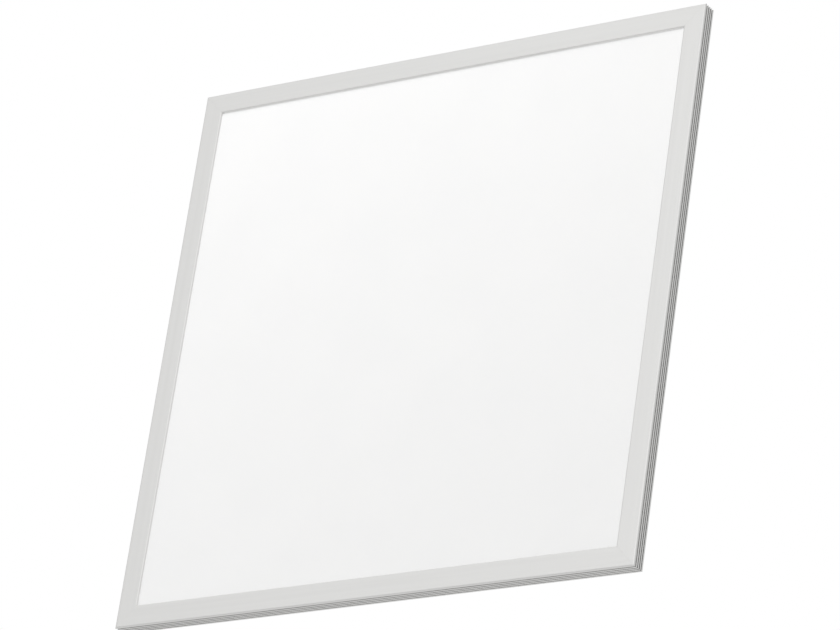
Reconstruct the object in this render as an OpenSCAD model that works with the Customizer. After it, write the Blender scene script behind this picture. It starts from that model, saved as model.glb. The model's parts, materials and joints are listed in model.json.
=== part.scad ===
// Edge-lit square ceiling panel for a 600 mm grid: mitred ribbed frame, opal front, light guide,
// two LED boards, pressed steel back cover, suspension inserts and a low-voltage inlet.
//
// Upright, as it is looked at: the front faces -Y, X is to the right and Z is up.
// The origin is the middle of the four suspension inserts, on their outer faces (the back plane, Y = 0).
// Depths (names starting with d_) are measured backwards from the front face.
// Insets (names starting with u_) are measured inwards from the frame's outside edge.

/* [Panel] */
// Outside width and height of the square frame
panel_w = 595; // [592:1:599]
// Depth of the frame, front face to back lips
panel_d = 16; // [15.5:0.1:17]
// Width of the bezel seen from the front
bezel_w = 22.5; // [20:0.5:26]

/* [Frame profile] */
// Thickness of the bezel plate and radius of its rounded inner lip
bezel_t = 1.6; // [1.4:0.1:1.6]
// Radius of the outside front edge
edge_r = 1.8; // [1.7:0.1:2.2]
// Height of the ribs along the outside wall
rib_h = 1; // [0.8:0.05:1]
// Radius of the crest of a rib
rib_r = 1.05; // [0.95:0.05:1.15]
// Distance between ribs
rib_pitch = 3.1; // [2.8:0.1:3.1]
// Number of ribs on each side
rib_count = 4; // [2:1:4]
// Depth of the crest of the first rib
rib_first = 5.3; // [5:0.1:5.4]
// Thickness of the outside wall from rib crests inwards
wall_t = 2.4; // [2.2:0.1:2.4]
// Thickness of the inner web and of the rear wall
web_t = 1.4; // [1.2:0.1:1.4]
// Inset of the inner web's inside face, where the LED boards sit
web_inset = 9.9; // [9.7:0.1:9.9]

/* [Optical stack] */
// Thickness of the opal diffuser
diffuser_t = 2; // [1.5:0.1:2]
// Thickness of the acrylic light guide
guide_t = 4; // [3:0.5:4]
// Thickness of the reflector film
film_t = 0.3; // [0.2:0.05:0.4]
// Inset of the edges of the sheets
sheet_inset = 12.4; // [12.2:0.1:12.8]

/* [Light source] */
// Number of LED packages on each board
led_count = 80; // [20:2:80]
// Distance between LED packages
led_pitch = 6.5; // [5:0.1:6.5]
// Length of each LED board
board_l = 550; // [548:1:556]
// Width of each LED board
board_w = 5; // [4.6:0.1:5]

/* [Back cover] */
// Thickness of the steel sheet
cover_t = 0.7; // [0.5:0.05:0.8]
// Length of each pressed bead, without its round ends
bead_l = 400; // [200:10:460]
// Number of pressed beads
bead_count = 4; // [2:1:4]
// Distance between pressed beads
bead_pitch = 110; // [100:5:120]
// Screw spacing from the middle of each side to the inner screws
screw_near = 90; // [60:5:120]
// Distance from the middle of each side to the outer screws
screw_far = 250; // [230:5:255]

/* [Suspension inserts] */
// Distance between inserts, both ways
insert_pitch = 440; // [400:10:470]
// Radius of the threaded hole (M4)
insert_r = 2; // [2:0.05:2.1]

/* [Inlet] */
// Height of the middle of the inlet, measured from the panel's middle
inlet_z = -199; // [-205:1:-110]
// Radius of the socket in the inlet
socket_r = 3.15; // [3:0.05:3.3]
// Radius of the contact pin in the inlet
pin_r = 1; // [0.9:0.05:1.25]

/* [Hidden] */
$fn = 64;
eps = 0.01;
half = panel_w / 2;

// how far a cut runs past the faces it opens
over = 1;

// frame
u_chamber = web_inset - web_t;
lip_t = 1.5;
d_cover_in = panel_d - lip_t;
d_cover_out = d_cover_in + cover_t;
d_rear = d_cover_in - web_t;
lip_chamfer = 0.3;
edge_run = 0.3;

// sheets, front to back
sheet_half = half - sheet_inset;
d_diffuser = bezel_t;
d_guide = d_diffuser + diffuser_t;
d_film = d_guide + guide_t;
d_foam = d_film + film_t;

// LED boards
tape_t = 0.2;
board_t = 1;
u_board = web_inset + tape_t;
u_board_face = u_board + board_t;
d_board_mid = d_guide + guide_t / 2;
led_l = 3.5;
led_w = 2.8;
led_t = 0.8;
socket_l = 8;
socket_w = 4.3;
socket_t = 1.1;
socket_z = 268;
d_socket_rear = 7.9;

// room between the bezel plate and what stands on it inside
front_gap = 0.2;

// silicone pads
pad_l = 40;
pad_w = 6;
pad_x = 150;
d_pad = bezel_t + front_gap;

// back cover
cover_gap = 0.2;
cover_half = half - wall_t - cover_gap;
bead_r = 8;
d_bead_axis = panel_d - bead_r;
screw_clear_r = 1.7;

// cover screws
screw_head_r = 2.8;
screw_head_t = 0.75;
screw_r = 1.35;
screw_hole_r = 1.4;
screw_l = 5;
u_screw = 6.2;
cross_w = 0.7;
cross_l = 2.6;
cross_depth = 0.45;

// rating label
label_t = 0.15;
label_l = 90;
label_w = 50;

// corner keys
key_gap = 0.15;
key_leg = 34;
key_w = u_chamber - wall_t - 2 * key_gap;
d_key = bezel_t + front_gap;
key_d = d_rear - front_gap - d_key;
key_pocket_l = 16;
key_pocket_w = 3.2;
key_pocket_d = 5;
key_screw_at = 22;
key_screw_r = 1.25;
key_hole_r = 1.3;
u_key_screw = wall_t + key_gap + key_w / 2;
key_head_r = 2.4;
key_head_t = 1.1;
key_head_gap = 0.1;
key_screw_l = 6;

// inserts
insert_flange_r = 4.2;
insert_body_r = 2.85;
insert_hole_r = 2.95;
insert_l = 4.7;
foam_hole_r = 3.6;

// inlet
inlet_l = 36;
inlet_edge = 11.5;
inlet_x = inlet_edge + inlet_l / 2 - half;
inlet_w = 34;
inlet_wall = 1.6;
inlet_h = 10.4;
ear_l = 8;
ear_t = 1.8;
ear_screw_at = 21;
jack_l = 12;
jack_w = 9;
jack_h = 7.6;
jack_nose_r = 3.9;
jack_nose_gap = 0.1;
socket_depth = 9.5;
jack_rise = 4.6;
d_jack = d_cover_out + jack_rise;
jack_x = inlet_x + inlet_l / 2 - inlet_wall - jack_l;
pin_l = 9;
lug_t = 0.5;
lug_l = 17;
lug_pos_w = 13;
lug_neg_w = 6.7;
lug_neg_rise = 1.8;
d_lug_neg = d_cover_out + lug_neg_rise;

// wires
wire_r = 0.55;
elbow_swell = 0.02;
elbow_r = wire_r + elbow_swell;
u_wire = 11.5;
d_red = 9;
d_black = 10.4;
wire_run = half - u_wire;
riser_offset = 8;
riser_x = inlet_x - riser_offset;
slot_l = 8;
slot_w = 15;
notch_w = 17;
red_offset = 4.75;
black_offset = 2.4;
socket_pole = 1.2;

// A block between two depths, with its width and height centred on x and z.
module slab(d0, d1, size_x, size_z, x = 0, z = 0) {
    translate([x - size_x / 2, d0 - panel_d, z - size_z / 2])
        cube([size_x, d1 - d0, size_z]);
}

// A round bar that runs front to back between two depths.
module peg(d0, d1, r, x = 0, z = 0) {
    translate([x, d0 - panel_d, z])
        rotate([-90, 0, 0])
            cylinder(r = r, h = d1 - d0);
}

// A round bar along X.
module bar_x(x0, x1, r, d, z) {
    translate([x0, d - panel_d, z])
        rotate([0, 90, 0])
            cylinder(r = r, h = x1 - x0);
}

// Turns children to each of the four sides.
module four_sides() {
    for (turn = [0, 90, 180, 270])
        rotate([0, turn, 0])
            children();
}

// ---- frame ----

// One rectangle of the frame's section: depth along x, inset along -y.
module strip(d0, d1, u0, u1) {
    translate([d0, -u1])
        square([d1 - d0, u1 - u0]);
}

// Round front edge, which ends at the step into the first groove of the side.
module section_edge() {
    intersection() {
        translate([edge_r, -edge_r])
            circle(r = edge_r);
        union() {
            strip(0, edge_r + edge_run, 0, wall_t);
            strip(0, bezel_t, 0, 2 * edge_r);
        }
    }
}

// Bezel plate with a quarter-round inner lip.
module section_bezel() {
    strip(0, bezel_t, edge_r, bezel_w - bezel_t);
    intersection() {
        translate([bezel_t, -(bezel_w - bezel_t)])
            circle(r = bezel_t);
        strip(0, bezel_t, bezel_w - 2 * bezel_t, bezel_w);
    }
}

// Outside wall with its ribs, and a small chamfer at the back lip.
module section_wall() {
    strip(edge_r, panel_d - lip_chamfer, rib_h, wall_t);
    strip(panel_d - lip_chamfer - eps, panel_d, rib_h + lip_chamfer, wall_t);
    for (i = [0 : rib_count - 1])
        intersection() {
            translate([rib_first + i * rib_pitch, -rib_r])
                circle(r = rib_r);
            strip(edge_r, panel_d, 0, wall_t);
        }
}

// Closed chamber for the corner keys.
module section_chamber() {
    strip(d_rear, d_cover_in, wall_t - eps, web_inset);
    strip(bezel_t - eps, d_cover_in, u_chamber, web_inset);
}

module section() {
    section_edge();
    section_bezel();
    section_wall();
    section_chamber();
}

// The 45-degree mitres: everything nearer to the top side than to the left and right sides.
module mitre_block() {
    inner = half - bezel_w - over;
    translate([0, -panel_d / 2, 0])
        rotate([90, 0, 0])
            linear_extrude(height = 2 * panel_d, center = true)
                polygon([[-half, half], [half, half], [inner, inner], [-inner, inner]]);
}

module rail_length() {
    translate([-half, -panel_d, half])
        rotate([90, 0, 90])
            linear_extrude(height = panel_w)
                section();
}

// One mitred rail, drilled for the cover screws and countersunk for the corner key screws.
module rail() {
    difference() {
        intersection() {
            rail_length();
            mitre_block();
        }
        for (x = [-screw_far, -screw_near, screw_near, screw_far])
            peg(d_rear - over, d_cover_in + over, screw_hole_r, x, half - u_screw);
        for (x = [key_screw_at - half, half - key_screw_at]) {
            peg(d_rear - over, d_cover_in + over, key_hole_r, x, half - u_key_screw);
            key_sink(x, half - u_key_screw);
        }
    }
}

// Countersink in the rear wall.
module key_sink(x, z) {
    translate([x, d_cover_in - key_head_t - panel_d, z])
        rotate([-90, 0, 0])
            cylinder(r1 = key_hole_r, r2 = key_head_r + key_head_gap, h = key_head_t);
}

module rail_top() {
    color([0.78, 0.78, 0.77])
        rail();
}

module rail_right() {
    color([0.78, 0.78, 0.77])
        rotate([0, 90, 0])
            rail();
}

module rail_bottom() {
    color([0.78, 0.78, 0.77])
        rotate([0, 180, 0])
            rail();
}

module rail_left() {
    color([0.78, 0.78, 0.77])
        rotate([0, 270, 0])
            rail();
}

// ---- corner keys ----

// One leg of the key in the top right corner, along the top rail.
module key_leg_top() {
    slab(d_key, d_key + key_d, key_leg - wall_t - key_gap, key_w,
        half - (key_leg + wall_t + key_gap) / 2, half - u_key_screw);
}

// Pocket and screw hole of the same leg.
module key_cuts_top() {
    slab(d_key - over, d_key + key_pocket_d, key_pocket_l, key_pocket_w,
        half - key_screw_at, half - u_key_screw);
    peg(d_key + key_pocket_d - over, d_rear + over, key_hole_r, half - key_screw_at, half - u_key_screw);
}

// Turns the leg of the top rail's right end into the leg of the right rail's top end.
module on_right_rail() {
    multmatrix([[0, 0, 1, 0], [0, 1, 0, 0], [1, 0, 0, 0], [0, 0, 0, 1]])
        children();
}

// Key of the top right corner.
module corner_key() {
    color([0.62, 0.63, 0.65])
        difference() {
            union() {
                key_leg_top();
                on_right_rail()
                    key_leg_top();
            }
            key_cuts_top();
            on_right_rail()
                key_cuts_top();
        }
}

module corner_key_tr() {
    corner_key();
}

module corner_key_br() {
    rotate([0, 90, 0])
        corner_key();
}

module corner_key_bl() {
    rotate([0, 180, 0])
        corner_key();
}

module corner_key_tl() {
    rotate([0, 270, 0])
        corner_key();
}

// Cross recess, cut into a head whose outer face is at depth d.
module cross_recess(d, x, z) {
    slab(d - cross_depth, d + over, cross_l, cross_w, x, z);
    slab(d - cross_depth, d + over, cross_w, cross_l, x, z);
}

// Countersunk screw with its head flush with the rear wall.
module key_screw(x, z) {
    difference() {
        union() {
            translate([x, d_cover_in - key_head_t - panel_d, z])
                rotate([-90, 0, 0])
                    cylinder(r1 = key_screw_r, r2 = key_head_r, h = key_head_t);
            peg(d_cover_in - key_screw_l, d_cover_in - key_head_t + eps, key_screw_r, x, z);
        }
        cross_recess(d_cover_in, x, z);
    }
}

module key_screws() {
    color([0.7, 0.7, 0.72])
        four_sides()
            for (x = [key_screw_at - half, half - key_screw_at])
                key_screw(x, half - u_key_screw);
}

// ---- optical stack ----

module sheet(d0, t) {
    slab(d0, d0 + t, 2 * sheet_half, 2 * sheet_half);
}

module diffuser() {
    color([0.97, 0.97, 0.96])
        sheet(d_diffuser, diffuser_t);
}

module light_guide() {
    color([0.85, 0.93, 0.95])
        sheet(d_guide, guide_t);
}

module reflector_sheet() {
    color([0.98, 0.98, 0.98])
        sheet(d_film, film_t);
}

// Backing foam, with clearance for the inserts, the inlet screws and the wires.
module foam_pad() {
    color([0.9, 0.9, 0.88])
        difference() {
            sheet(d_foam, d_cover_in - d_foam);
            for (x = [-insert_pitch / 2, insert_pitch / 2])
                for (z = [-insert_pitch / 2, insert_pitch / 2])
                    peg(d_foam - over, d_cover_in + over, foam_hole_r, x, z);
            for (z = [inlet_z - ear_screw_at, inlet_z + ear_screw_at])
                peg(d_foam - over, d_cover_in + over, screw_clear_r, inlet_x, z);
            slab(d_foam - over, d_cover_in + over, riser_x + slot_l / 2 + half, notch_w,
                (riser_x + slot_l / 2 - half) / 2, inlet_z);
        }
}

module guide_pads(side) {
    color([0.75, 0.76, 0.78])
        for (x = [-pad_x, pad_x])
            slab(d_pad, d_pad + pad_w, pad_l, sheet_inset - web_inset,
                x, side * (half - (sheet_inset + web_inset) / 2));
}

module guide_pads_top() {
    guide_pads(1);
}

module guide_pads_bottom() {
    guide_pads(-1);
}

// ---- light source ----

// A strip standing on the web of the left (-1) or right (1) rail.
module edge_strip(side, u0, t, width, length, z = 0) {
    slab(d_board_mid - width / 2, d_board_mid + width / 2, t, length,
        side * (half - u0 - t / 2), z);
}

module thermal_tape(side) {
    color([0.85, 0.87, 0.9])
        edge_strip(side, web_inset, tape_t, board_w, board_l);
}

module thermal_tape_left() {
    thermal_tape(-1);
}

module thermal_tape_right() {
    thermal_tape(1);
}

module led_board(side) {
    color([0.94, 0.94, 0.93])
        edge_strip(side, u_board, board_t, board_w, board_l);
}

module led_board_left() {
    led_board(-1);
}

module led_board_right() {
    led_board(1);
}

module led_row(side) {
    color([0.95, 0.86, 0.45])
        for (i = [0 : led_count - 1])
            edge_strip(side, u_board_face, led_t, led_w, led_l, (i - (led_count - 1) / 2) * led_pitch);
}

module led_row_left() {
    led_row(-1);
}

module led_row_right() {
    led_row(1);
}

module board_socket(side, z) {
    color([0.92, 0.9, 0.84])
        slab(d_socket_rear - socket_w, d_socket_rear, socket_t, socket_l,
            side * (half - u_board_face - socket_t / 2), z);
}

module board_socket_left() {
    board_socket(-1, socket_z);
}

module board_socket_right() {
    board_socket(1, -socket_z);
}

// ---- back cover ----

// Round-ended bar along X, for pressing a bead.
module bead_tool(r, z) {
    bar_x(-bead_l / 2, bead_l / 2, r, d_bead_axis, z);
    for (x = [-bead_l / 2, bead_l / 2])
        translate([x, d_bead_axis - panel_d, z])
            sphere(r = r);
}

module back_cover() {
    color([0.93, 0.93, 0.92])
        difference() {
            union() {
                slab(d_cover_in, d_cover_out, 2 * cover_half, 2 * cover_half);
                for (i = [0 : bead_count - 1])
                    intersection() {
                        bead_tool(bead_r, (i - (bead_count - 1) / 2) * bead_pitch);
                        slab(d_cover_in + cover_t / 2, panel_d + over, bead_l + 4 * bead_r, 4 * bead_r,
                            0, (i - (bead_count - 1) / 2) * bead_pitch);
                    }
            }
            for (i = [0 : bead_count - 1])
                bead_tool(bead_r - cover_t, (i - (bead_count - 1) / 2) * bead_pitch);
            four_sides()
                for (x = [-screw_far, -screw_near, screw_near, screw_far])
                    peg(d_cover_in - over, d_cover_out + over, screw_clear_r, x, half - u_screw);
            for (x = [-insert_pitch / 2, insert_pitch / 2])
                for (z = [-insert_pitch / 2, insert_pitch / 2])
                    peg(d_cover_in - over, d_cover_out + over, insert_hole_r, x, z);
            for (z = [inlet_z - ear_screw_at, inlet_z + ear_screw_at])
                peg(d_cover_in - over, d_cover_out + over, screw_hole_r, inlet_x, z);
            slab(d_cover_in - over, d_cover_out + over, slot_l, slot_w, riser_x, inlet_z);
        }
}

// Wafer-head screw standing on depth d.
module wafer_screw(d, x, z) {
    difference() {
        union() {
            peg(d, d + screw_head_t, screw_head_r, x, z);
            peg(d - screw_l, d + eps, screw_r, x, z);
        }
        cross_recess(d + screw_head_t, x, z);
    }
}

module cover_screws() {
    color([0.72, 0.72, 0.74])
        four_sides()
            for (x = [-screw_far, -screw_near, screw_near, screw_far])
                wafer_screw(d_cover_out, x, half - u_screw);
}

module rating_label() {
    color([0.98, 0.98, 0.98])
        slab(d_cover_out, d_cover_out + label_t, label_l, label_w);
}

// ---- suspension inserts ----

module suspension_inserts() {
    color([0.8, 0.78, 0.7])
        for (x = [-insert_pitch / 2, insert_pitch / 2])
            for (z = [-insert_pitch / 2, insert_pitch / 2])
                difference() {
                    union() {
                        peg(d_cover_out, panel_d, insert_flange_r, x, z);
                        peg(panel_d - insert_l, d_cover_out + eps, insert_body_r, x, z);
                    }
                    peg(panel_d - insert_l - over, panel_d + over, insert_r, x, z);
                }
}

// ---- inlet ----

module inlet_housing() {
    color([0.93, 0.93, 0.92])
        difference() {
            union() {
                slab(d_cover_out, d_cover_out + inlet_h, inlet_l, inlet_w, inlet_x, inlet_z);
                slab(d_cover_out, d_cover_out + ear_t, 2 * ear_l, inlet_w + 2 * ear_l, inlet_x, inlet_z);
            }
            slab(d_cover_out - over, d_cover_out + inlet_h - inlet_wall,
                inlet_l - 2 * inlet_wall, inlet_w - 2 * inlet_wall, inlet_x, inlet_z);
            bar_x(inlet_x, inlet_x + inlet_l, jack_nose_r + jack_nose_gap, d_jack, inlet_z);
            for (z = [inlet_z - ear_screw_at, inlet_z + ear_screw_at])
                peg(d_cover_out - over, d_cover_out + ear_t + over, screw_clear_r, inlet_x, z);
        }
}

module inlet_screws() {
    color([0.72, 0.72, 0.74])
        for (z = [inlet_z - ear_screw_at, inlet_z + ear_screw_at])
            wafer_screw(d_cover_out + ear_t, inlet_x, z);
}

module inlet_jack() {
    color([0.1, 0.1, 0.11])
        difference() {
            union() {
                slab(d_jack - jack_h / 2, d_jack + jack_h / 2, jack_l, jack_w,
                    jack_x + jack_l / 2, inlet_z);
                bar_x(jack_x + jack_l - eps, jack_x + jack_l + inlet_wall, jack_nose_r, d_jack, inlet_z);
            }
            bar_x(jack_x + jack_l + inlet_wall - socket_depth, jack_x + jack_l + inlet_wall + over,
                socket_r, d_jack, inlet_z);
            bar_x(jack_x - over, jack_x + jack_l, pin_r, d_jack, inlet_z);
        }
}

// Contact pin, ending a little inside the mouth of the socket.
module inlet_pin() {
    color([0.83, 0.8, 0.68])
        bar_x(jack_x, jack_x + jack_l + inlet_wall - socket_depth + pin_l, pin_r, d_jack, inlet_z);
}

module lug(d, width) {
    color([0.83, 0.8, 0.68])
        slab(d - lug_t / 2, d + lug_t / 2, lug_l, width, jack_x - lug_l / 2, inlet_z);
}

module inlet_lug_pos() {
    lug(d_jack, lug_pos_w);
}

module inlet_lug_neg() {
    lug(d_lug_neg, lug_neg_w);
}

// ---- wires ----

// A wire through a list of points, with round elbows.
module wire(points) {
    for (i = [0 : len(points) - 2])
        wire_leg(points[i], points[i + 1]);
    for (i = [1 : len(points) - 2])
        translate(points[i])
            sphere(r = elbow_r);
}

// One straight stretch, along any one of the three axes.
module wire_leg(a, b) {
    low = [min(a[0], b[0]), min(a[1], b[1]), min(a[2], b[2])];
    run = [abs(a[0] - b[0]), abs(a[1] - b[1]), abs(a[2] - b[2])];
    turn = run[0] > eps ? [0, 90, 0] : run[1] > eps ? [-90, 0, 0] : [0, 0, 0];
    translate(low)
        rotate(turn)
            cylinder(r = wire_r, h = run[0] + run[1] + run[2]);
}

// From the top end of the left board down the side and out through the slot.
module wire_left(pole, d, z, d_end) {
    wire([
        [-wire_run, d_socket_rear - panel_d, socket_z + pole],
        [-wire_run, d - panel_d, socket_z + pole],
        [-wire_run, d - panel_d, z],
        [riser_x, d - panel_d, z],
        [riser_x, d_end - panel_d, z]
    ]);
}

// From the bottom end of the right board, along the bottom, up the side and out through the slot.
module wire_right(pole, d, z, d_end) {
    wire([
        [wire_run, d_socket_rear - panel_d, pole - socket_z],
        [wire_run, d - panel_d, pole - socket_z],
        [wire_run, d - panel_d, -wire_run],
        [-wire_run, d - panel_d, -wire_run],
        [-wire_run, d - panel_d, z],
        [riser_x, d - panel_d, z],
        [riser_x, d_end - panel_d, z]
    ]);
}

module wire_left_red() {
    color([0.75, 0.1, 0.1])
        wire_left(-socket_pole, d_red, inlet_z + red_offset, d_jack - lug_t / 2);
}

module wire_left_black() {
    color([0.08, 0.08, 0.08])
        wire_left(socket_pole, d_black, inlet_z + black_offset, d_lug_neg - lug_t / 2);
}

module wire_right_red() {
    color([0.75, 0.1, 0.1])
        wire_right(socket_pole, d_red, inlet_z - red_offset, d_jack - lug_t / 2);
}

module wire_right_black() {
    color([0.08, 0.08, 0.08])
        wire_right(-socket_pole, d_black, inlet_z - black_offset, d_lug_neg - lug_t / 2);
}

rail_top();
rail_bottom();
rail_left();
rail_right();
corner_key_tl();
corner_key_tr();
corner_key_bl();
corner_key_br();
key_screws();
diffuser();
light_guide();
reflector_sheet();
foam_pad();
back_cover();
cover_screws();
led_board_left();
led_board_right();
led_row_left();
led_row_right();
thermal_tape_left();
thermal_tape_right();
board_socket_left();
board_socket_right();
guide_pads_top();
guide_pads_bottom();
suspension_inserts();
wire_left_red();
wire_left_black();
wire_right_red();
wire_right_black();
inlet_housing();
inlet_screws();
inlet_jack();
inlet_pin();
inlet_lug_pos();
inlet_lug_neg();
rating_label();
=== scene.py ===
import json
import math
import bpy
import bmesh
from mathutils import Matrix, Vector


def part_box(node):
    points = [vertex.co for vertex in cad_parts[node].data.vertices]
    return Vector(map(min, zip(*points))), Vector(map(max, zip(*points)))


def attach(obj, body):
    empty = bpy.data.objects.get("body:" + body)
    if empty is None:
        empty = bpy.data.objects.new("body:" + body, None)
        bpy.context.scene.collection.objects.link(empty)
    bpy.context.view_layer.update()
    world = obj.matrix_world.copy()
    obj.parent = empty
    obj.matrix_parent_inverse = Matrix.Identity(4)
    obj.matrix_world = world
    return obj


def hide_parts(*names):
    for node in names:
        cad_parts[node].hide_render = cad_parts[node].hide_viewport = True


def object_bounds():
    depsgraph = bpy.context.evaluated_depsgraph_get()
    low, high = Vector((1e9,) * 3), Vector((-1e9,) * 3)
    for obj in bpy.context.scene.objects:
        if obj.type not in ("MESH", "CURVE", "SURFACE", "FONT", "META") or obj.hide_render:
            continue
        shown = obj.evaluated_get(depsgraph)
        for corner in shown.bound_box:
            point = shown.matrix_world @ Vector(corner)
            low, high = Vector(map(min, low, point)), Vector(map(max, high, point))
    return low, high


# An edge-lit square ceiling panel: camera, light, materials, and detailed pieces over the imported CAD.
# Metres throughout, in the frame of the CAD: the lit front faces -Y, +X is right and +Z is up.

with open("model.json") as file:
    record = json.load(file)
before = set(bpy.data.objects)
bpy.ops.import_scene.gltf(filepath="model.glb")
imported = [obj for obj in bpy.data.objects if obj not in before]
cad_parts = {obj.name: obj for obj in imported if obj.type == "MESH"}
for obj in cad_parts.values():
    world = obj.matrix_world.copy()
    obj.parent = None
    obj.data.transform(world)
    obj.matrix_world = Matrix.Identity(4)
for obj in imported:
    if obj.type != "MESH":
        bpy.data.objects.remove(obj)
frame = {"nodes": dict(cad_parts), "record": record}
cad_lo, cad_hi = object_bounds()
nodes = frame["nodes"]

MM = 0.001
OUTER = cad_hi[0]      # half of the outside width
FRONT_Y = cad_lo[1]    # plane of the bezel's front

# The ribs on the outer sides of the rails, and the painted shade that darkens the grooves between them.
RIB_HEIGHT = 1.0 * MM
RIBS_FROM_Y = FRONT_Y + 1.8 * MM
RIBS_FULL_Y = FRONT_Y + 6.4 * MM
RIBS_TO_Y = -0.35 * MM
RIBS_FADE = 0.2 * MM
GROOVE_FLOOR = (OUTER - 1.25 * RIB_HEIGHT, OUTER - 1.1 * RIB_HEIGHT)
GROOVE_MOUTH = (OUTER - 0.75 * RIB_HEIGHT, OUTER - 0.35 * RIB_HEIGHT)
# Painted shade: the colour the grooves are multiplied by, much darker on the left and right rails than
# on the top and bottom ones.
GROOVE_PAINTED_SHADE = {"X": (0.18, 0.178, 0.17), "Z": (0.06, 0.055, 0.05)}    # by the axis that the rail follows

# Points of a finished mesh nearer to each other than WELD are one point, and so are the points of a
# CAD mesh nearer than CAD_WELD.
WELD = 0.002 * MM
CAD_WELD = 0.001 * MM

# Edges that turn by more than this are shaded, and rounded off, as sharp ones. Those of the pressed
# cover are gentler, and a CAD face stays one face up to FLAT_DEG.
SHARP_DEG = 32.0
COVER_SHARP_DEG = 24.0
FLAT_DEG = 0.6

# How far a cut runs past the face it opens.
PAST = 1.0 * MM


# ---- camera: the front seen from the right and from below, with the panel rolled in the picture ----

CAMERA_AT = (2.6649, -3.6133, -2.1075)
CAMERA_FORWARD = (-0.5366, 0.728, 0.4267)
CAMERA_UP = (0.1301, -0.4283, 0.8942)
LENS_MM = 217.6


def look_from(position, forward, up, lens_mm):
    back = -Vector(forward).normalized()
    right = Vector(up).cross(back).normalized()
    turn = Matrix((right, back.cross(right), back)).transposed()
    data = bpy.data.cameras.new("camera")
    data.lens = lens_mm
    data.sensor_width = 36.0
    data.clip_start, data.clip_end = 0.05, 100.0
    obj = bpy.data.objects.new("camera", data)
    obj.matrix_world = Matrix.Translation(Vector(position)) @ turn.to_4x4()
    bpy.context.scene.collection.objects.link(obj)
    bpy.context.scene.camera = obj


look_from(CAMERA_AT, CAMERA_FORWARD, CAMERA_UP, LENS_MM)


# ---- light: a soft dome, brighter in front and to the left, and two soft boxes ----

# The dome's strength goes from dark to bright as the direction's dot product with its axis rises.
DOME_AXIS = (-0.5, -0.82, 0.1)
DOME_RISE = (-0.6, 1.0)
DOME_STRENGTH = (0.57, 1.0)
# Far to the left it is dimmer again: the X of the direction, and the factor there.
LEFT_RISE = (-0.70, -0.42)
LEFT_FACTOR = (0.66, 1.0)


def node(tree, kind, x=0, y=0, **settings):
    n = tree.nodes.new(kind)
    n.location = (x, y)
    for key, value in settings.items():
        setattr(n, key, value)
    return n


def smooth_rise(tree, x, y, rise, result):
    """A soft step from result[0] to result[1], while its input goes from rise[0] to rise[1]."""
    step = node(tree, "ShaderNodeMapRange", x, y, interpolation_type="SMOOTHSTEP")
    step.inputs["From Min"].default_value, step.inputs["From Max"].default_value = rise
    step.inputs["To Min"].default_value, step.inputs["To Max"].default_value = result
    return step


def background(tree, y):
    shader = node(tree, "ShaderNodeBackground", 400, y)
    shader.inputs["Color"].default_value = (1, 1, 1, 1)
    return shader


def make_world():
    """Lights the scene with the dome, and shows plain white behind it."""
    world = bpy.data.worlds.new("studio")
    bpy.context.scene.world = world
    world.use_nodes = True
    t = world.node_tree
    t.nodes.clear()
    out = node(t, "ShaderNodeOutputWorld", 800)
    mix = node(t, "ShaderNodeMixShader", 600)
    path = node(t, "ShaderNodeLightPath", 400, 300)
    seen = background(t, -200)
    dome = background(t, 0)
    coord = node(t, "ShaderNodeTexCoord", -600)
    dot = node(t, "ShaderNodeVectorMath", -400, operation="DOT_PRODUCT")
    dot.inputs[1].default_value = DOME_AXIS
    front = smooth_rise(t, -200, 0, DOME_RISE, DOME_STRENGTH)
    parts = node(t, "ShaderNodeSeparateXYZ", -400, -300)
    left = smooth_rise(t, -200, -300, LEFT_RISE, LEFT_FACTOR)
    shade = node(t, "ShaderNodeMath", 0, -100, operation="MULTIPLY")
    t.links.new(coord.outputs["Generated"], dot.inputs[0])
    t.links.new(dot.outputs["Value"], front.inputs["Value"])
    t.links.new(coord.outputs["Generated"], parts.inputs[0])
    t.links.new(parts.outputs["X"], left.inputs["Value"])
    t.links.new(front.outputs["Result"], shade.inputs[0])
    t.links.new(left.outputs["Result"], shade.inputs[1])
    t.links.new(shade.outputs[0], dome.inputs["Strength"])
    t.links.new(path.outputs["Is Camera Ray"], mix.inputs[0])
    t.links.new(dome.outputs[0], mix.inputs[1])
    t.links.new(seen.outputs[0], mix.inputs[2])
    t.links.new(mix.outputs[0], out.inputs["Surface"])


def soft_box(name, position, size, watts):
    """A square light aimed at the panel's middle, which doesn't show in the gloss of the metal."""
    data = bpy.data.lights.new(name, "AREA")
    data.shape = "SQUARE"
    data.size = size
    data.energy = watts
    obj = bpy.data.objects.new(name, data)
    obj.location = position
    obj.rotation_mode = "QUATERNION"
    obj.rotation_quaternion = (-Vector(position)).to_track_quat("-Z", "Y")
    obj.visible_glossy = False
    bpy.context.scene.collection.objects.link(obj)


make_world()
soft_box("key", (-0.5, -1.2, 2.0), 1.2, 26)
soft_box("back_fill", (-2.4, 1.5, 3.0), 1.2, 60)

bpy.context.scene.view_settings.view_transform = "Standard"
bpy.context.scene.view_settings.look = "None"


# ---- materials ----

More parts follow.
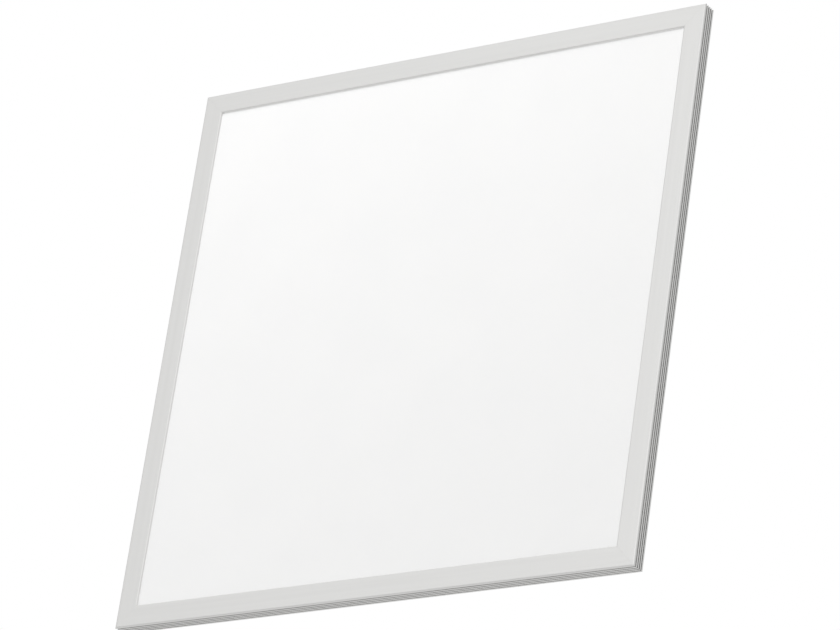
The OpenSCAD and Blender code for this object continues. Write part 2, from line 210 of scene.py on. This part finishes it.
class Surface:
    """A Principled material with helpers for procedural colour, roughness and bump at real scale."""

    def __init__(self, name, color, rough, metal=0.0, **sockets):
        self.mat = bpy.data.materials.new(name)
        self.mat.use_nodes = True
        self.tree = self.mat.node_tree
        self.bsdf = self.tree.nodes["Principled BSDF"]
        self.set("Base Color", (*color, 1))
        self.set("Roughness", rough)
        self.set("Metallic", metal)
        for key, value in sockets.items():
            self.set(key.replace("_", " "), value)
        self.coord = node(self.tree, "ShaderNodeTexCoord", -1400)
        self.normal = None

    def set(self, socket, value):
        self.bsdf.inputs[socket].default_value = value

    def link(self, a, b):
        self.tree.links.new(a, b)

    def noise(self, per_m, detail=3.0, rough=0.5, seed=0.0):
        """Noise with its own grain along X, Y and Z, in cycles per metre."""
        move = node(self.tree, "ShaderNodeMapping", -1200)
        move.inputs["Scale"].default_value = per_m if isinstance(per_m, tuple) else (per_m,) * 3
        move.inputs["Location"].default_value = (seed, seed * 1.7, seed * 2.3)
        tex = node(self.tree, "ShaderNodeTexNoise", -1000)
        tex.inputs["Scale"].default_value = 1.0
        tex.inputs["Detail"].default_value = detail
        tex.inputs["Roughness"].default_value = rough
        self.link(self.coord.outputs["Object"], move.inputs["Vector"])
        self.link(move.outputs[0], tex.inputs["Vector"])
        return tex.outputs["Fac"]

    def math(self, operation, a, b=None):
        """The result of a Math node with one or two linked inputs."""
        n = node(self.tree, "ShaderNodeMath", -550, operation=operation)
        self.link(a, n.inputs[0])
        if b is not None:
            self.link(b, n.inputs[1])
        return n.outputs[0]

    def place(self):
        """The X, Y and Z of the point, in the frame of the CAD."""
        parts = node(self.tree, "ShaderNodeSeparateXYZ", -1200, -600)
        self.link(self.coord.outputs["Object"], parts.inputs[0])
        return parts.outputs

    def spread(self, value, low, high, lo_in=0.3, hi_in=0.7):
        m = node(self.tree, "ShaderNodeMapRange", -700)
        m.inputs["From Min"].default_value = lo_in
        m.inputs["From Max"].default_value = hi_in
        m.inputs["To Min"].default_value = low
        m.inputs["To Max"].default_value = high
        self.link(value, m.inputs["Value"])
        return m.outputs["Result"]

    def window(self, value, rise, fall):
        """1 between two ramps, each given as where it starts and ends, and 0 outside them."""
        risen = self.spread(value, 0.0, 1.0, *rise)
        fallen = self.spread(value, 1.0, 0.0, *fall)
        return self.math("MULTIPLY", risen, fallen)

    def vary_color(self, value, color_a, color_b, lo_in=0.3, hi_in=0.7):
        ramp = node(self.tree, "ShaderNodeValToRGB", -500)
        ramp.color_ramp.elements[0].position = lo_in
        ramp.color_ramp.elements[0].color = (*color_a, 1)
        ramp.color_ramp.elements[1].position = hi_in
        ramp.color_ramp.elements[1].color = (*color_b, 1)
        self.link(value, ramp.inputs["Fac"])
        self.link(ramp.outputs["Color"], self.bsdf.inputs["Base Color"])

    def vary_rough(self, value, low, high):
        self.link(self.spread(value, low, high), self.bsdf.inputs["Roughness"])

    def darken(self, amount, tint):
        """Multiplies the colour made so far by the tint, where the amount is 1."""
        mix = node(self.tree, "ShaderNodeMix", -200, -400, data_type="RGBA", blend_type="MULTIPLY")
        socket = self.bsdf.inputs["Base Color"]
        self.link(amount, mix.inputs["Factor"])
        self.link(socket.links[0].from_socket, mix.inputs["A"])
        mix.inputs["B"].default_value = (*tint, 1)
        self.link(mix.outputs["Result"], socket)

    def bump(self, value, height_m):
        b = node(self.tree, "ShaderNodeBump", -300)
        b.inputs["Distance"].default_value = height_m
        b.inputs["Strength"].default_value = 1.0
        self.link(value, b.inputs["Height"])
        if self.normal:
            self.link(self.normal, b.inputs["Normal"])
        self.normal = b.outputs["Normal"]
        self.link(self.normal, self.bsdf.inputs["Normal"])


def darker(color, share):
    return tuple(c * share for c in color)


def groove_shade_mask(s, across):
    """Mask of the painted groove shade: 0 on the bezel, the lips and the crests of the side ribs, 1 at
    the bottom of the grooves.
    """
    place = s.place()
    sunk = s.window(s.math("ABSOLUTE", place[across]), GROOVE_FLOOR, GROOVE_MOUTH)
    behind = s.window(place["Y"], (RIBS_FROM_Y, RIBS_FULL_Y), (RIBS_TO_Y - RIBS_FADE, RIBS_TO_Y))
    return s.math("MULTIPLY", sunk, behind)


def extruded(name, along):
    """Satin anodised extrusion: die lines along the rail, an etched grain, and painted shade that
    darkens the grooves.
    """
    lines = tuple(9.0 if axis == along else 1400.0 for axis in "XYZ")
    broad = tuple(2.5 if axis == along else 160.0 for axis in "XYZ")
    s = Surface(name, (0.80, 0.80, 0.795), 0.36, 1.0)
    fine = s.noise(lines, 4.0, 0.6, 3.0)
    s.vary_color(s.noise(broad, 3.0, 0.55, 7.0), (0.85, 0.848, 0.836), (0.874, 0.872, 0.86))
    # Painted shade: darkens the colour in the grooves between the side ribs.
    s.darken(groove_shade_mask(s, "Z" if along == "X" else "X"), GROOVE_PAINTED_SHADE[along])
    s.vary_rough(fine, 0.32, 0.44)
    s.bump(fine, 0.012 * MM)
    s.bump(s.noise(5200.0, 2.0, 0.6, 1.0), 0.006 * MM)
    return s.mat


def opal():
    """Frosted acrylic with a fine moulded texture, and a faint painted glow that stands in for brighter
    light on it.
    """
    # Painted light: a faint emission makes the sheet brighter than the lamps alone light it.
    s = Surface("opal_sheet", (0.93, 0.93, 0.925), 0.52, IOR=1.49, Emission_Strength=0.037)
    s.set("Emission Color", (1.0, 1.0, 1.0, 1))
    s.vary_color(s.noise(14.0, 2.0, 0.5, 5.0), (0.925, 0.926, 0.923), (0.938, 0.938, 0.934))
    s.bump(s.noise(2600.0, 2.0, 0.55, 2.0), 0.02 * MM)
    s.vary_rough(s.noise(900.0, 2.0, 0.5, 9.0), 0.48, 0.56)
    return s.mat


def powder_coat(name, color, rough=0.42):
    """Powder paint: orange peel over a very slight mottle."""
    s = Surface(name, color, rough)
    s.vary_color(s.noise(22.0, 4.0, 0.6, 4.0), darker(color, 0.98), color)
    s.vary_rough(s.noise(420.0, 3.0, 0.5, 6.0), rough - 0.06, rough + 0.06)
    s.bump(s.noise(650.0, 2.0, 0.45, 8.0), 0.05 * MM)
    return s.mat


def metal(name, color, rough, grain=2500.0, height=0.012 * MM):
    """Plated, turned or cast metal, by the grain and its height."""
    s = Surface(name, color, rough, 1.0)
    s.vary_color(s.noise(500.0, 4.0, 0.65, 2.0), darker(color, 0.86), color)
    s.vary_rough(s.noise(1100.0, 3.0, 0.6, 5.0), rough - 0.08, rough + 0.1)
    s.bump(s.noise(grain, 3.0, 0.6, 1.0), height)
    return s.mat


def moulded(name, color, rough, grain=1800.0, height=0.02 * MM, **sockets):
    """Moulded plastic, film or foam, by the grain and its height."""
    s = Surface(name, color, rough, **sockets)
    s.vary_color(s.noise(60.0, 3.0, 0.55, 3.0), darker(color, 0.93), color)
    s.vary_rough(s.noise(300.0, 2.0, 0.5, 2.0), max(rough - 0.06, 0.03), rough + 0.06)
    s.bump(s.noise(grain, 2.0, 0.55, 6.0), height)
    return s.mat


def border_line(s, half_x, half_z, inset, width, soft):
    """1 on a thin rectangle inside the edges of a plate that is centred on X = 0 and Z = 0."""
    place = s.place()
    line = None
    for axis, edge, other, end in (("X", half_x, "Z", half_z), ("Z", half_z, "X", half_x)):
        across = s.math("ABSOLUTE", place[axis])
        along = s.math("ABSOLUTE", place[other])
        far, near = edge - inset, edge - inset - width
        rule = s.window(across, (near - soft, near), (far, far + soft))
        ends = s.spread(along, 1.0, 0.0, end - inset, end - inset + soft)
        side = s.math("MULTIPLY", rule, ends)
        line = side if line is None else s.math("MAXIMUM", line, side)
    return line


def film_label(name, color):
    """Satin silver film with a thin plain border line."""
    s = Surface(name, color, 0.34, 0.35)
    s.vary_color(s.noise((30.0, 30.0, 900.0), 3.0, 0.5, 4.0), darker(color, 0.95), color)
    half_x, _, half_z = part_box("rating_label")[1]
    s.darken(border_line(s, half_x, half_z, 2.1 * MM, 0.4 * MM, 0.1 * MM), (0.25, 0.26, 0.28))
    s.vary_rough(s.noise(300.0, 2.0, 0.5, 2.0), 0.3, 0.4)
    s.bump(s.noise(1500.0, 2.0, 0.5, 3.0), 0.01 * MM)
    return s.mat


ALONG_X = extruded("anodised_along_x", "X")
ALONG_Z = extruded("anodised_along_z", "Z")
MATS = {
    "cast_zinc": metal("cast_zinc", (0.55, 0.56, 0.58), 0.5, 900.0, 0.05 * MM),
    "plated_screw": metal("plated_screw", (0.74, 0.74, 0.76), 0.26),
    "opal_sheet": opal(),
    "clear_acrylic": moulded("clear_acrylic", (0.9, 0.96, 0.97), 0.08, 400.0, 0.004 * MM,
                             Transmission_Weight=0.85, IOR=1.49),
    "white_film": moulded("white_film", (0.92, 0.92, 0.92), 0.6),
    "white_foam": moulded("white_foam", (0.86, 0.86, 0.84), 0.9, 700.0, 0.25 * MM),
    "painted_steel": powder_coat("painted_steel", (0.84, 0.84, 0.83)),
    "board_white": moulded("board_white", (0.9, 0.9, 0.89), 0.3),
    "led_package": moulded("led_package", (0.88, 0.74, 0.3), 0.3),
    "bonding_tape": moulded("bonding_tape", (0.8, 0.82, 0.85), 0.7),
    "socket_plastic": moulded("socket_plastic", (0.86, 0.83, 0.74), 0.5),
    "silicone": moulded("silicone", (0.66, 0.67, 0.69), 0.6, Subsurface_Weight=0.1),
    "insert_steel": metal("insert_steel", (0.77, 0.74, 0.64), 0.28),
    "wire_red": moulded("wire_red", (0.5, 0.03, 0.025), 0.42),
    "wire_black": moulded("wire_black", (0.02, 0.02, 0.02), 0.42),
    "housing_plastic": moulded("housing_plastic", (0.83, 0.83, 0.82), 0.5, 1500.0, 0.04 * MM),
    "jack_plastic": moulded("jack_plastic", (0.02, 0.02, 0.022), 0.45),
    "contact_brass": metal("contact_brass", (0.8, 0.72, 0.5), 0.22),
    "label_film": film_label("label_film", (0.86, 0.87, 0.88)),
}
RAILS = {"rail_top": ALONG_X, "rail_bottom": ALONG_X, "rail_left": ALONG_Z, "rail_right": ALONG_Z}


def paint(obj, material):
    """Gives a CAD node its material on the object, so that its mesh stays as it is."""
    for place in obj.material_slots:
        place.link = "OBJECT"
        place.material = material


for row in frame["record"]["subparts"]:
    name = row["node"]
    paint(nodes[name], RAILS[name] if name in RAILS else MATS[row["material_slot"]])


# ---- detailed pieces, which stand for the plain CAD solids they replace ----

def add_piece(name, replaced, mesh, material, sharp_deg=SHARP_DEG):
    """Links a finished mesh as a piece that stands for one CAD node."""
    mesh.name = name
    obj = bpy.data.objects.new(name, mesh)
    bpy.context.scene.collection.objects.link(obj)
    mesh.materials.clear()
    mesh.materials.append(material)
    mesh.polygons.foreach_set("use_smooth", [True] * len(mesh.polygons))
    mesh.set_sharp_from_angle(angle=math.radians(sharp_deg))
    even = obj.modifiers.new("even_normals", "WEIGHTED_NORMAL")
    even.keep_sharp = True
    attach(obj, "root")
    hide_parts(replaced)


def to_mesh(bm):
    """The finished mesh, with its slivers and doubled points gone and its faces turned outwards."""
    mesh = bpy.data.meshes.new("work")
    bmesh.ops.remove_doubles(bm, verts=bm.verts, dist=WELD)
    bmesh.ops.dissolve_degenerate(bm, dist=WELD, edges=bm.edges)
    bmesh.ops.recalc_face_normals(bm, faces=bm.faces)
    bm.to_mesh(mesh)
    bm.free()
    return mesh


def solids(name):
    """Lowest and highest corner of each separate solid of a CAD node."""
    bm = bmesh.new()
    bm.from_mesh(nodes[name].data)
    bmesh.ops.remove_doubles(bm, verts=bm.verts, dist=CAD_WELD)
    left = set(bm.verts)
    found = []
    while left:
        stack = [left.pop()]
        points = []
        while stack:
            v = stack.pop()
            points.append(v.co.copy())
            for e in v.link_edges:
                w = e.other_vert(v)
                if w in left:
                    left.remove(w)
                    stack.append(w)
        found.append((Vector(map(min, *points)), Vector(map(max, *points))))
    bm.free()
    return sorted(found, key=lambda box: (round(box[0].x, 4), round(box[0].z, 4)))


def bridge(bm, low, high):
    """Quads between two closed loops of the same length."""
    for i in range(len(low)):
        j = (i + 1) % len(low)
        bm.faces.new((low[i], low[j], high[j], high[i]))


def turned(bm, profile, segments, closed=False):
    """Turns a profile of (radius, y) about the Y axis. A radius may be a function of the angle.

    A closed profile makes a ring; an open one starts and ends on the axis, at radius 0."""
    rows = []
    for radius, y in profile:
        if not callable(radius) and radius < WELD:
            rows.append([bm.verts.new((0, y, 0))])
            continue
        row = []
        for i in range(segments):
            a = 2 * math.pi * i / segments
            r = radius(a) if callable(radius) else radius
            row.append(bm.verts.new((r * math.cos(a), y, r * math.sin(a))))
        rows.append(row)
    pairs = list(zip(rows, rows[1:]))
    if closed:
        pairs.append((rows[-1], rows[0]))
    for low, high in pairs:
        for i in range(segments):
            j = (i + 1) % segments
            quad = [low[i % len(low)], low[j % len(low)], high[j % len(high)], high[i % len(high)]]
            bm.faces.new(list(dict.fromkeys(quad)))


def carved(mesh, tools, operation="DIFFERENCE"):
    """The mesh with closed tool meshes cut out of it, or joined to it."""
    scene = bpy.context.scene
    body = bpy.data.objects.new("carving", mesh)
    scene.collection.objects.link(body)
    cutters = []
    for tool in tools:
        cutter = bpy.data.objects.new("cutter", tool)
        scene.collection.objects.link(cutter)
        cut = body.modifiers.new("cut", "BOOLEAN")
        cut.operation, cut.solver, cut.object = operation, "EXACT", cutter
        cutters.append(cutter)
    graph = bpy.context.evaluated_depsgraph_get()
    result = bmesh.new()
    result.from_mesh(bpy.data.meshes.new_from_object(body.evaluated_get(graph)))
    for obj in [body] + cutters:
        bpy.data.objects.remove(obj)
    return to_mesh(result)


def copies(mesh, places):
    """One mesh with a copy of the given one at each place."""
    bm = bmesh.new()
    for place in places:
        one = mesh.copy()
        one.transform(place)
        bm.from_mesh(one)
        bpy.data.meshes.remove(one)
    return to_mesh(bm)


def joined(meshes):
    bm = bmesh.new()
    for mesh in meshes:
        bm.from_mesh(mesh)
    return to_mesh(bm)


def rod(radius, low, high, axis):
    """A closed round bar from low to high, along X or Y."""
    bm = bmesh.new()
    run = (high - low).length
    turned(bm, [(0.0, 0.0), (radius, 0.0), (radius, run), (0.0, run)], segments=40)
    mesh = to_mesh(bm)
    turn = Matrix.Rotation(math.radians(-90), 4, "Z") if axis == "X" else Matrix.Identity(4)
    mesh.transform(Matrix.Translation(low) @ turn)
    return mesh


def block(size, at):
    bm = bmesh.new()
    bmesh.ops.create_cube(bm, size=1.0, matrix=Matrix.Translation(at) @ Matrix.Diagonal((*size, 1)))
    return to_mesh(bm)


def round_rect(half_x, half_z, corner, steps=6):
    """Points of a rectangle with round corners, anticlockwise in x and z."""
    points = []
    for quarter, (sx, sz) in enumerate(((1, 1), (-1, 1), (-1, -1), (1, -1))):
        for k in range(steps + 1):
            a = math.radians(90 * (quarter + k / steps))
            points.append((sx * (half_x - corner) + corner * math.cos(a),
                           sz * (half_z - corner) + corner * math.sin(a)))
    return points


def stacked(rings, middle):
    """A closed mesh through outlines (points, y) about a middle, capped at both ends."""
    bm = bmesh.new()
    loops = [[bm.verts.new((x, y, z)) for x, z in points] for points, y in rings]
    for low, high in zip(loops, loops[1:]):
        bridge(bm, low, high)
    bm.faces.new(loops[0])
    bm.faces.new(loops[-1])
    mesh = to_mesh(bm)
    mesh.transform(Matrix.Translation((middle.x, 0, middle.z)))
    return mesh


def cross_tool(top_y, depth):
    """Tapered cross for the recess of a cross-head screw, entered from +Y."""
    mouth = (top_y + 0.1 * MM, 1.36 * MM, 0.36 * MM)
    floor = (top_y - depth, 0.7 * MM, 0.2 * MM)
    bm = bmesh.new()
    rings = []
    for y, arm, half_w in (mouth, floor):
        spots = []
        for quarter in range(4):
            turn = Matrix.Rotation(math.radians(90 * quarter), 2)
            for x, z in ((half_w, half_w), (arm, half_w), (arm, -half_w)):
                spots.append(turn @ Vector((x, z)))
        order = [3 * q + k for q in (0, 3, 2, 1) for k in (0, 1, 2)]
        rings.append([bm.verts.new((spots[i].x, y, spots[i].y)) for i in order])
    top, low = rings
    bm.faces.new(top)
    bm.faces.new(low[::-1])
    bridge(bm, top, low)
    return to_mesh(bm)


SCREW_SPIN_DEG = 37     # how far each screw's cross is turned from the one before


def wafer_screws(name, replaced):
    """Wafer-head cross-recess screws with a coarse thread, one for each CAD screw."""
    boxes = solids(replaced)
    lo, hi = boxes[0]
    head_r = (hi.x - lo.x) / 2
    length = hi.y - lo.y
    head_t, neck_r = 0.75 * MM, 1.2 * MM
    root_r, crest_r, tip_r = 1.05 * MM, 1.33 * MM, 0.8 * MM
    pitch, flank, tip_l = 0.75 * MM, 0.3 * MM, 0.6 * MM
    plain_l = 1.3 * MM      # from the last ridge of the thread to the tip
    # The domed head: shares of its radius, and depths in millimetres.
    dome = [(0.0, 0.0), (0.42, -0.012), (0.68, -0.05), (0.86, -0.15), (0.965, -0.3),
            (1.0, -0.45), (1.0, -0.7)]
    profile = [(head_r * r, y * MM) for r, y in dome]
    profile += [(head_r - 0.05 * MM, -head_t), (neck_r, -head_t)]
    y = -head_t - flank / 2
    while y > plain_l - length:
        profile += [(root_r, y), (crest_r, y - flank), (root_r, y - 2 * flank)]
        y -= pitch
    profile += [(tip_r, -length + tip_l), (0.0, -length)]
    bm = bmesh.new()
    turned(bm, profile, segments=36)
    one = carved(to_mesh(bm), [cross_tool(0.0, 0.5 * MM)])
    places = []
    for i, (lo, hi) in enumerate(boxes):
        middle = (lo + hi) / 2
        spin = Matrix.Rotation(math.radians(SCREW_SPIN_DEG * i % 90), 4, "Y")
        places.append(Matrix.Translation((middle.x, hi.y, middle.z)) @ spin)
    add_piece(name, replaced, copies(one, places), MATS["plated_screw"])


def threaded_inserts(name, replaced):
    """Rivet nuts: a thin chamfered flange, a plain body and an M4 thread."""
    boxes = solids(replaced)
    lo, hi = boxes[0]
    length = hi.y - lo.y
    flange_r, body_r, bore_r = (hi.x - lo.x) / 2, 2.85 * MM, 2.0 * MM
    flange_t, nick = 0.8 * MM, 0.1 * MM
    pitch, ridge, steps = 0.7 * MM, 0.32 * MM, 6
    sink = 0.3 * MM     # from the flange's face to the start of the thread
    fade_l = 0.4 * MM
    crest_half = 0.38   # share of the pitch

    def ridged(y):
        fade = max(0.0, min(1.0, (-y - sink) / fade_l, (y + length) / fade_l))

        def radius(a):
            phase = (y / pitch + a / (2 * math.pi)) % 1.0
            return bore_r - ridge * fade * max(0.0, 1.0 - abs(phase - 0.5) / crest_half)
        return radius

    profile = [
        (bore_r + 0.4 * MM, 0.0), (flange_r - 0.35 * MM, 0.0), (flange_r - nick, -0.08 * MM),
        (flange_r, -0.25 * MM), (flange_r, nick - flange_t), (flange_r - nick, -flange_t),
        (body_r, -flange_t), (body_r, 0.3 * MM - length), (body_r - 0.3 * MM, -length),
        (bore_r + nick, -length),
    ]
    rows = int((length - sink) / pitch * steps)
    for k in range(rows + 1):
        y = -length + (length - sink) * k / rows
        profile.append((ridged(y), y))
    bm = bmesh.new()
    turned(bm, profile, segments=48, closed=True)
    places = [Matrix.Translation(((lo.x + hi.x) / 2, hi.y, (lo.z + hi.z) / 2)) for lo, hi in boxes]
    add_piece(name, replaced, copies(to_mesh(bm), places), MATS["insert_steel"])


# The pressed beads of the cover: where they run, and their section as a round crest that flows into
# the flat sheet. The radii and the drop are in millimetres.
BEAD_ROWS = [-165 * MM, -55 * MM, 55 * MM, 165 * MM]
BEAD_HALF_L = 200 * MM
CREST_R, CREST_DROP, CREST_HALF, BEAD_HALF = 8.0, 7.2, 2.5, 4.8
BEAD_STEPS = 12     # rows of points from the middle of a bead to its foot


def bead_height(x, z):
    """Height of the beads over the sheet."""
    away = max(abs(x) - BEAD_HALF_L, 0.0)
    rho = min(math.hypot(away, z - row) for row in BEAD_ROWS) / MM
    if rho < CREST_HALF:
        return (math.sqrt(CREST_R ** 2 - rho ** 2) - CREST_DROP) * MM
    if rho > BEAD_HALF:
        return 0.0
    span = BEAD_HALF - CREST_HALF
    t = (rho - CREST_HALF) / span
    edge = math.sqrt(CREST_R ** 2 - CREST_HALF ** 2)
    slope = -CREST_HALF / edge * span
    flow = (edge - CREST_DROP) * (2 * t ** 3 - 3 * t ** 2 + 1) + slope * (t ** 3 - 2 * t ** 2 + t)
    return flow * MM


COVER_HOLES = {"cover_screws": 1.7 * MM, "suspension_inserts": 2.95 * MM, "inlet_screws": 1.4 * MM}
WIRE_SLOT = (8 * MM, 15 * MM)
WIRE_SLOT_IN = 10 * MM     # from the left side of the inlet housing to the middle of the slot


def cover_holes(sheet_y):
    """A closed mesh of all that is cut out of the cover: round holes, and the slot of the wires."""
    reach = 2 * MM
    cuts = []
    for fixed, radius in COVER_HOLES.items():
        drill = bmesh.new()
        turned(drill, [(0.0, -reach), (radius, -reach), (radius, reach), (0.0, reach)], segments=32)
        middles = [(lo + hi) / 2 for lo, hi in solids(fixed)]
        places = [Matrix.Translation((at.x, sheet_y, at.z)) for at in middles]
        cuts.append(copies(to_mesh(drill), places))
    lo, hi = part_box("inlet_housing")
    width, height = WIRE_SLOT
    cuts.append(block((width, 2 * reach, height), (lo[0] + WIRE_SLOT_IN, sheet_y, (lo[2] + hi[2]) / 2)))
    return joined(cuts)


def pressed_cover(name, replaced):
    """The steel cover with flowing beads, soft cut edges and all its holes."""
    lo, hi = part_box(replaced)
    half = (hi[0] - lo[0]) / 2
    sheet_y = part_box("rating_label")[0][1]
    thick = sheet_y - lo[1]
    soft = 0.12 * MM
    fine = [k * BEAD_HALF / BEAD_STEPS * MM for k in range(BEAD_STEPS + 1)]
    rim = {-half, half, -half + soft, half - soft}
    xs = rim | {s * (BEAD_HALF_L + f) for s in (-1, 1) for f in fine}
    xs |= {s * BEAD_HALF_L / 2 for s in (-1, 0, 1)}
    zs = rim | {row + s * f for row in BEAD_ROWS for f in fine for s in (-1, 1)}
    xs, zs = sorted({round(v, 7) for v in xs}), sorted({round(v, 7) for v in zs})
    bm = bmesh.new()

    def skin(level, rim_step):
        grid = []
        for x in xs:
            line = []
            for z in zs:
                at_rim = max(abs(x), abs(z)) > half - soft / 2
                y = level + bead_height(x, z) + (rim_step if at_rim else 0.0)
                line.append(bm.verts.new((x, y, z)))
            grid.append(line)
        for a, b in zip(grid, grid[1:]):
            for j in range(len(zs) - 1):
                bm.faces.new((a[j], a[j + 1], b[j + 1], b[j]))
        first, last = [line[0] for line in grid], [line[-1] for line in grid]
        return first + grid[-1][1:] + last[-2::-1] + grid[0][-2:0:-1]

    bridge(bm, skin(sheet_y, -soft), skin(sheet_y - thick, soft))
    mesh = carved(to_mesh(bm), [cover_holes(sheet_y)])
    add_piece(name, replaced, mesh, MATS["painted_steel"], COVER_SHARP_DEG)


def softened(name, replaced, material, offset, segments=2):
    """A CAD node's own shape with its sharp outer edges rounded off by the offset."""
    bm = bmesh.new()
    bm.from_mesh(nodes[replaced].data)
    bmesh.ops.remove_doubles(bm, verts=bm.verts, dist=CAD_WELD)
    bmesh.ops.dissolve_limit(bm, angle_limit=math.radians(FLAT_DEG), verts=bm.verts, edges=bm.edges)
    sharp = math.radians(SHARP_DEG)
    edges = [e for e in bm.edges if e.is_convex and e.calc_face_angle(0.0) > sharp]
    bmesh.ops.bevel(bm, geom=edges, offset=offset, segments=segments, profile=0.5,
                    affect="EDGES", clamp_overlap=False)
    add_piece(name, replaced, to_mesh(bm), material)


def moulded_housing(name, replaced):
    """The inlet housing: rounded shell with draft, ears with round ends, vents and a nose opening."""
    lo, hi = (Vector(c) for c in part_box(replaced))
    nose_lo, nose_hi = (Vector(c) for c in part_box("inlet_jack"))
    mid = (lo + hi) / 2
    wall, ear_t, ear_half = 1.6 * MM, 1.8 * MM, 8 * MM
    nose_r, ring_r, ring_t = 4.0 * MM, 5.6 * MM, 0.35 * MM
    pilot_r, pilot_l = 1.7 * MM, 3 * MM
    body_x, body_z = (hi.x - lo.x) / 2, (hi.z - lo.z) / 2 - ear_half
    # How far each outline lies inside the widest one, in millimetres, and its height.
    shell = [(0.0, lo.y), (0.0, lo.y + 1.5 * MM), (0.15, hi.y - 1.6 * MM), (0.25, hi.y - 0.9 * MM),
             (0.55, hi.y - 0.35 * MM), (1.05, hi.y - 0.08 * MM), (1.6, hi.y)]
    plate = [(0.0, lo.y), (0.0, lo.y + ear_t - 0.35 * MM), (0.1, lo.y + ear_t - 0.12 * MM),
             (0.35, lo.y + ear_t)]
    body = stacked([(round_rect(body_x - i * MM, body_z - i * MM, (2.6 - 0.9 * i) * MM), y)
                    for i, y in shell], mid)
    ears = stacked([(round_rect(ear_half - i * MM, body_z + ear_half - i * MM, (5.0 - i) * MM, 8), y)
                    for i, y in plate], mid)
    inside = round_rect(body_x - wall, body_z - wall, 1.2 * MM)
    room = stacked([(inside, lo.y - PAST), (inside, hi.y - wall)], mid)
    jack_y = (nose_lo.y + nose_hi.y) / 2
    outside = Vector((hi.x + PAST, jack_y, mid.z))
    nose = rod(nose_r, Vector((mid.x, jack_y, mid.z)), outside, "X")
    ring = rod(ring_r, Vector((hi.x - ring_t, jack_y, mid.z)), outside, "X")
    pilots = []
    for box_lo, box_hi in solids("inlet_screws"):
        at = (box_lo + box_hi) / 2
        low, high = Vector((at.x, lo.y - PAST, at.z)), Vector((at.x, lo.y + pilot_l, at.z))
        pilots.append(rod(pilot_r, low, high, "Y"))
    vent, vent_pitch, vents_x = (1.2 * MM, 0.7 * MM, 16 * MM), 2.8 * MM, mid.x - 6 * MM
    vents = [block(vent, (vents_x + vent_pitch * k, hi.y, mid.z)) for k in range(-3, 4)]
    mesh = carved(carved(body, [ears], "UNION"), [room, nose, ring, joined(pilots), joined(vents)])
    add_piece(name, replaced, mesh, MATS["housing_plastic"])


def blank_label(name, replaced):
    """A plain film label with round corners and a soft upper edge."""
    lo, hi = (Vector(c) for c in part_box(replaced))
    corner, soft = 3 * MM, 0.04 * MM
    half = (hi - lo) / 2
    rings = [(round_rect(half.x - inset, half.z - inset, corner - inset, 8), y)
             for inset, y in ((0.0, lo.y), (0.0, hi.y - soft), (soft, hi.y))]
    mesh = stacked(rings, (lo + hi) / 2)
    add_piece(name, replaced, mesh, MATS["label_film"])


wafer_screws("cover_screws_detailed", "cover_screws")
wafer_screws("inlet_screws_detailed", "inlet_screws")
threaded_inserts("rivet_nuts", "suspension_inserts")
pressed_cover("back_cover_pressed", "back_cover")
blank_label("label_blank", "rating_label")
moulded_housing("inlet_housing_moulded", "inlet_housing")
softened("inlet_jack_moulded", "inlet_jack", MATS["jack_plastic"], 0.15 * MM)
softened("inlet_pin_turned", "inlet_pin", MATS["contact_brass"], 0.2 * MM, 3)
for rail, material in RAILS.items():
    softened(rail + "_anodised", rail, material, 0.07 * MM)


# ---- floor, far below the hanging panel ----

FLOOR_Z = -2.9
FLOOR_REACH = 60.0


def make_floor(level, reach):
    mesh = bpy.data.meshes.new("floor")
    bm = bmesh.new()
    bmesh.ops.create_grid(bm, x_segments=1, y_segments=1, size=reach)
    bm.to_mesh(mesh)
    bm.free()
    obj = bpy.data.objects.new("floor", mesh)
    obj.location = (0, 0, level)
    bpy.context.scene.collection.objects.link(obj)
    mesh.materials.append(powder_coat("floor_paint", (0.78, 0.78, 0.78), 0.8))


make_floor(FLOOR_Z, FLOOR_REACH)
